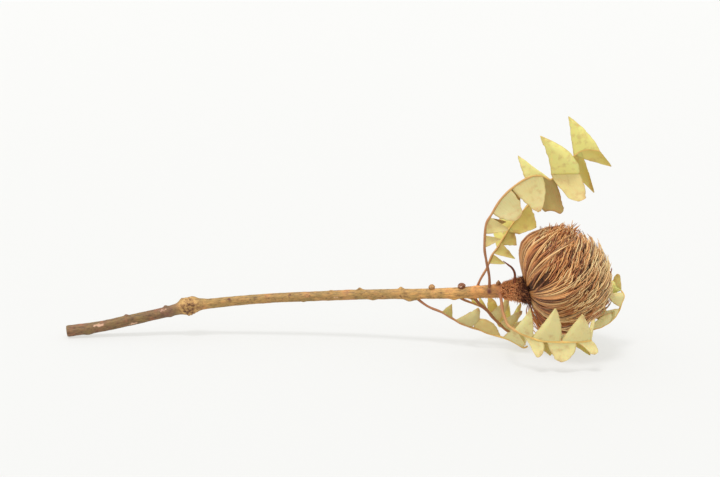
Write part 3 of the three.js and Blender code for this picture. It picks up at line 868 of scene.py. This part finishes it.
def make_buds():
    material = bud_material()
    rings, sides = 16, 28
    faces = ring_faces(rings, sides)
    for number, (x, y, z, radius, paleness, point) in enumerate(BUDS, 1):
        scales = []
        for i in range(rings):
            angle = math.pi * (i + 0.35) / (rings - 0.3)
            above = max(0, -math.cos(angle)) * point
            rise = -radius * math.cos(angle) * (1 + 0.5 * above)
            for k in range(sides):
                turn = 2 * math.pi * k / sides
                folds = 1 + BUD_FOLDS * (abs(math.sin(2.5 * turn + i * 0.5)) - 0.5)
                out = radius * math.sin(angle) * folds * (1 - 0.6 * above)
                scales.append((x + out * math.cos(turn) * BUD_STRETCH, y + out * math.sin(turn), z + rise))
        pale = {"pale": [paleness] * len(scales)}
        name, nodes = f"bud_scales_{number}", [f"bud_{number}"]
        add_piece(name, nodes, scales, faces, material, pale)


# ---- the leaves ----
# Foot lines away from the midrib: a fold of the arching leaf, and the far end of the leaf under the head.
FOLD = ((27, 9, 144), (50, 9, 144.5))
RING_END = ((80, 14, 43), (88, 12, 47))
# Each leaf is [radii, rib, lobes]: the midrib's radius at its two ends, the points along it, and for each
# lobe the values that lobe() takes after the rib.
LEAVES = {
    "leaf_arching": ((1.35, 0.6), [
        (-20, 6, 49), (-21, 0, 62), (-24, -5, 76), (-26, -8, 87), (-26, -8, 98), (-25, -8, 108),
        (-21, -7, 115), (-14, -4, 126), (-6, -2, 134), (4, 0, 141), (13, 3, 144), (20, 6, 143),
        (27, 8, 140), (32, 10, 145), (38, 10, 151), (44, 9, 158), (50, 8, 163), (57, 8, 164),
        (65, 8, 163),
    ], [
        (3.1, 4.0, (-14, -12, 96), -0.04), (4.15, 5.7, (-8, -13, 104), -0.04, 0.1),
        (6.1, 8.0, (1, -16, 115), -0.1, 0.3, 2.0),
        (8.1, 11.0, (16, -14, 119), -0.07, 0.14, 1.5, 1.5),
        (9.6, 12.6, (30.5, 5, 114.5), 0.85, 0.86, 1.6),
        (12, 15, (48, -3, 124.5), 0.0, 0.45, 2.2, 0.0, FOLD), (14.2, 16.0, (63, 15, 128), 0.6),
        (9.2, 12.0, (0, 4, 160), 0.5, 0.04, 1.1),
        (12, 15, (17, 3, 176), 0.55, 0.05, 2.8, 5.2, FOLD),
        (15.1, 18.0, (39, 6, 191), 0.6, 0.04, 1.5, 1.5),
        (15.2, 18.0, (75, 11, 150), 0.6, 0.05, 1.1), (4.3, 5.6, (-8, 6, 106), 0.9),
        (6.3, 8.3, (3, 10, 119), 0.95, 0.1, 1.5),
    ]),
    "leaf_back": ((1.3, 0.6), [
        (-30, 11, 49), (-27, 13, 56), (-22, 16, 64), (-17, 20, 75), (-13, 22, 80), (-8, 24, 88),
        (-2, 27, 97), (6, 30, 107), (13, 32, 114),
    ], [
        (2.4, 3.1, (-7, 14, 69), 0.75), (3.2, 4.6, (1, 15, 73), 0.72),
        (4.4, 5.9, (3, 24, 82), 0.7, 0.05, 1.6, 1.0),
        (5.6, 8.0, (19, 28, 96), 0.62, 0.05, 1.8, -1.0), (5.2, 6.4, (-11, 30, 103), 0.7),
        (7.0, 8.0, (22, 36, 122), 0.95, 0.2), (4.0, 5.3, (-16, 32, 95), 0.7),
    ]),
    "leaf_front": ((1.6, 0.85), [
        (-12, 2, 49), (-12, -12, 45), (-12, -22, 40), (-11, -30, 37), (-9, -37, 33), (-5, -42, 31),
        (0, -46, 29), (7, -49, 27), (14, -51, 25), (30, -52, 24), (46, -51, 24), (55, -48, 24),
    ], [
        (5.1, 7.2, (6, -52, 51), 0.3, 0.04, 1.3, 1.0),
        (7.2, 9.0, (25, -54, 52), 0.3, 0.04, 1.35, 1.0),
        (9.05, 10.95, (46, -53, 47), 0.3, 0.04, 1.35, 1.0), (10.5, 11.0, (57, -42, 40), 0.3, 0.6),
        (6.3, 8.2, (12, -56, 13), 0.15, 0.2, 1.4, 1.5),
        (8.4, 9.75, (31, -56, 9), 0.18, 0.3, 2.0, 1.0),
        (9.8, 11.0, (57, -54, 14.5), 0.15, 0.45, 1.6, 1.5), (5.6, 6.3, (4, -48, 20), 0.8),
    ]),
    "leaf_low": ((1.25, 0.85), [
        (-82, 22, 40.5), (-69, 17, 32), (-58, 14, 28), (-50, 11, 24), (-43, 10, 20), (-35, 9, 17),
        (-27, 7, 15), (-19, 6, 12), (-11, 5, 10), (-2, 4, 7), (4, 4, 3.5), (9, 3, 1.1), (12, 3, 2.4),
    ], [
        (2.0, 3.1, (-50, 8, 37), 0.95, 0.04, 1.1), (3.4, 5.1, (-29, 2, 35), 0.04, 0.12, 1.8, 2.0),
        (5.4, 8.1, (-22.5, 4, 25), 0.0, 0.45, 1.6), (8.3, 10.9, (6, -9, 19), 0.35, 0.75),
        (2.2, 3.0, (-54, 17, 31), 0.8), (3.6, 5.0, (-34, 15, 28), 0.8),
    ]),
    "leaf_under": ((1.6, 0.7), [
        (-34.5, 11.5, 45), (-28, 11, 36.5), (-21, 12, 30), (-16, 12, 24), (-10, 12, 18), (-3, 12, 12),
        (15, 10, 7), (39, 6, 7), (54, 4, 11), (66, 4, 17), (70, 4, 18), (74, 4, 20),
        (79, 5, 23), (83, 6, 27), (86, 7, 32), (88, 8, 38), (90, 10, 43), (88, 12, 47),
    ], [
        (2.4, 3.7, (-3, 16, 37), 0.3, 0.35), (3.8, 4.9, (8, 14, 29), 0.35, 0.3),
        (4.6, 5.3, (16, 17, 23), 0.2, 0.35), (6.1, 7.0, (28, -15, 0.5), 0.5),
        (5.7, 6.7, (14, 38, 0.5), 0.5), (6.8, 7.8, (42, 36, 0.5), 0.5),
        (7.3, 8.4, (60, -16, 0.8), 0.5), (8.4, 12.2, (73, -8, 33), 0.2, 0.35, 1.5),
        (9.6, 12.6, (80, 0, 33), 0.95, 0.1, 1.4), (12.0, 14.2, (65, -3, 30), 0.35, 0.3, 1.6),
        (14.4, 16.6, (76, 0, 46), 0.3, 0.35, 1.4),
        (15.8, 17.0, (84.5, 16, 60), 0.9, 0.5, 1.6, 0.0, RING_END),
        (15.8, 17.0, (79, 15, 55), 0.6, 0.3, 1.4, 0.0, RING_END),
        (9.6, 12.0, (71, 16, 40), 0.4, 0.2),
    ]),
    "leaf_rear": ((1.3, 0.6), [
        (-49, 15, 44), (-42, 18, 38.5), (-34, 22, 34), (-26, 25, 30), (-17, 28, 24), (-8, 30, 20),
        (-1, 32, 16), (6, 34, 11),
    ], [
        (3.0, 3.9, (-26, 30, 37), 0.8), (3.8, 5.2, (-16, 32, 35.5), 0.75, 0.35, 1.5),
        (5.2, 6.3, (-3, 33, 36), 0.6, 0.35, 1.5), (6.1, 7.0, (9, 37, 24), 0.85, 0.2),
        (4.6, 6.0, (-9, 27, 11), 0.5, 0.3), (5.2, 6.8, (2, 42, 0.5), 0.7),
        (2.2, 3.2, (-33, 24, 40), 0.6), (6.2, 7.0, (8, 24, 33), 0.5, 0.3),
    ]),
}
LOBE_CUP = 0.09
LOWER_TONE = 0.15
CRINKLE = 0.9
BLADE_THICKNESS = 0.45
MARGIN_ROUGHNESS = 0.16
MARGIN_PACE = 7
MARGIN_SIDES = (2.3, 8.1)
# Lobes are rounded over the last part of their length, unless they are as blunt as SQUARE.
ROUND_SHARE = 0.14
SQUARE = 0.7
BLADE_ACROSS = 16
BLADE_ALONG = 22
MIDRIB_SIDES = 12
MIDRIB_SHARE = 0.85


def lobe_width(tip, blunt, full, out, across):
    """Width of a lobe as a share of its foot: its taper, its rounded end and its rough margins."""
    rounding = min(1, blunt * 3) if blunt < SQUARE else 0.1
    end = np.clip((out - 1 + ROUND_SHARE) / ROUND_SHARE, 0, 1)
    width = (1 - (1 - blunt) * out**full) * (1 - 0.9 * end**2 * rounding)
    seed = tip[0] * 0.37
    for i, place in enumerate(out[:, 0]):
        edges = [Vector((seed, place * MARGIN_PACE, side)) for side in MARGIN_SIDES]
        first, last = (noise.fractal(edge, 0.6, 2.0, 3) for edge in edges)
        width[i] *= 1 + MARGIN_ROUGHNESS * np.where(across[i] > 0, last, first) * place
    return width


def two_sided_faces(rows, columns):
    """Faces of a thin sheet: its upper grid, its lower grid and the strip round its edge."""
    count = rows * columns
    faces = []
    for i in range(rows - 1):
        for a in range(i * columns, i * columns + columns - 1):
            faces.append((a, a + 1, a + 1 + columns, a + columns))
            faces.append((a + count, a + columns + count, a + 1 + columns + count, a + 1 + count))
    loop = [*range(columns), *range(2 * columns - 1, count, columns)]
    loop += [*range(count - 2, count - columns - 1, -1), *range(count - 2 * columns, 0, -columns)]
    for a, b in zip(loop, loop[1:] + loop[:1]):
        faces.append((b, a, a + count, b + count))
    return faces


def lobe(rib, first, last, tip, tone=0.4, blunt=0.05, full=1.25, sway=0.0, foot=None):
    """Vertices, faces and attributes of one lobe: a thin cupped blade with crinkles and rough margins.

    It stands on the midrib from rib point first to last, or on a foot line of its own, and ends at tip.
    tone runs from pale underside to olive upper side and is also set darker on lobes that lie in shadow, as
    painted shade;
    blunt is the share of the width left at the tip, full rounds the edges and sway bows the lobe along the
    midrib.
    """
    steps = np.linspace(0, 1, BLADE_ACROSS + 1)
    out, across = np.meshgrid(np.linspace(0, 1, BLADE_ALONG + 1), 2 * steps - 1, indexing="ij")
    foot = spline(foot, steps) if foot else spline(rib, first + (last - first) * steps)
    middle = foot[BLADE_ACROSS // 2]
    reach = np.array(tip, float) - middle
    along = unit(foot[-1] - foot[0])
    normal = unit(np.cross(along, reach))
    arch = 4 * out * (1 - out)
    width = lobe_width(tip, blunt, full, out, across)
    surface = middle + out[..., None] * reach + width[..., None] * (foot - middle)
    surface = surface + (arch * sway)[..., None] * along
    cup = LOBE_CUP * np.linalg.norm(reach) * arch * (1 - across**2)
    crinkle = [[noise.fractal(Vector(p) * 0.11, 0.9, 2.0, 3) for p in row] for row in surface]
    surface = surface + normal * (cup + CRINKLE * out * crinkle)[..., None]
    thinning = (1 - 0.55 * np.abs(across) ** 6) * (1 - 0.4 * out)
    half = (BLADE_THICKNESS / 2 * thinning + 0.02)[..., None]
    vertices = np.concatenate([surface + normal * half, surface - normal * half]).reshape(-1, 3)
    attributes = {
        "tone": np.repeat([tone, np.clip(tone + LOWER_TONE, 0, 1)], out.size),
        "out": np.tile(out.ravel(), 2),
        "across": np.tile(across.ravel(), 2),
        "edge": np.tile(np.maximum(np.abs(across), out).ravel(), 2),
    }
    return vertices, two_sided_faces(*out.shape), attributes


def make_leaf(name, radii, rib, lobes, blade_material, stalk_material):
    places = np.linspace(0, len(rib) - 1, 14 * len(rib))
    radius = np.interp(places, [0, len(rib) - 1], radii) * MIDRIB_SHARE
    radius = radius * (1 + 0.08 * np.sin(places * 5.0))
    vertices, faces = tube(spline(rib, places), radius, MIDRIB_SIDES)
    share = np.repeat(places / (len(rib) - 1), MIDRIB_SIDES)
    add_piece(f"{name}_midrib", [name], vertices, faces, stalk_material, {"along": share})
    vertices, faces, attributes = zip(*(lobe(rib, *row) for row in lobes))
    starts = np.cumsum([0, *(len(v) for v in vertices)])
    faces = [[i + start for i in face] for start, part in zip(starts, faces) for face in part]
    joined = {key: np.concatenate([a[key] for a in attributes]) for key in attributes[0]}
    add_piece(f"{name}_blade", (), np.vstack(vertices), faces, blade_material, joined)


def make_leaves():
    materials = leaf_material(), petiole_material()
    for name, leaf in LEAVES.items():
        make_leaf(name, *leaf, *materials)


# ---- the studio ----
def make_floor():
    mesh = bpy.data.meshes.new("floor")
    near = [(-FLOOR_SIDE, -FLOOR_SIDE, 0), (FLOOR_SIDE, -FLOOR_SIDE, 0)]
    far = [(FLOOR_SIDE, FLOOR_FAR, 0), (-FLOOR_SIDE, FLOOR_FAR, 0)]
    mesh.from_pydata(near + far, [], [(0, 1, 2, 3)])
    glow = {"Emission Color": FLOOR_GLOW_COLOUR, "Emission Strength": FLOOR_GLOW}
    shader = Shader("paper_floor", 0.9, glow)
    mesh.materials.append(shader.finished(FLOOR_COLOUR))
    floor = bpy.data.objects.new("floor", mesh)
    floor.location.z = -FLOOR_DROP
    bpy.context.scene.collection.objects.link(floor)


def make_light():
    world = bpy.data.worlds.new("studio")
    world.use_nodes = True
    background = next(n for n in world.node_tree.nodes if n.type == "BACKGROUND")
    background.inputs["Color"].default_value = WORLD_COLOUR
    background.inputs["Strength"].default_value = WORLD_STRENGTH
    bpy.context.scene.world = world
    light = bpy.data.lights.new("softbox", "SUN")
    light.angle = SOFTBOX_ANGLE
    light.energy = SOFTBOX_STRENGTH
    lamp = bpy.data.objects.new("softbox", light)
    lamp.rotation_euler = SOFTBOX_TURN
    bpy.context.scene.collection.objects.link(lamp)


def make_camera():
    data = bpy.data.cameras.new("camera")
    data.lens = LENS_MM
    data.sensor_width = SENSOR_MM
    data.clip_end = 100
    camera = bpy.data.objects.new("camera", data)
    camera.location = to_frame(CAMERA_PLACE)
    camera.rotation_euler = (math.pi / 2 - CAMERA_PITCH, 0, 0)
    bpy.context.scene.collection.objects.link(camera)
    bpy.context.scene.camera = camera
    bpy.context.scene.view_settings.view_transform = "Standard"


make_camera()
make_light()
make_floor()
make_stem()
make_head()
make_collar()
make_fur()
make_curled_bract()
make_buds()
make_leaves()
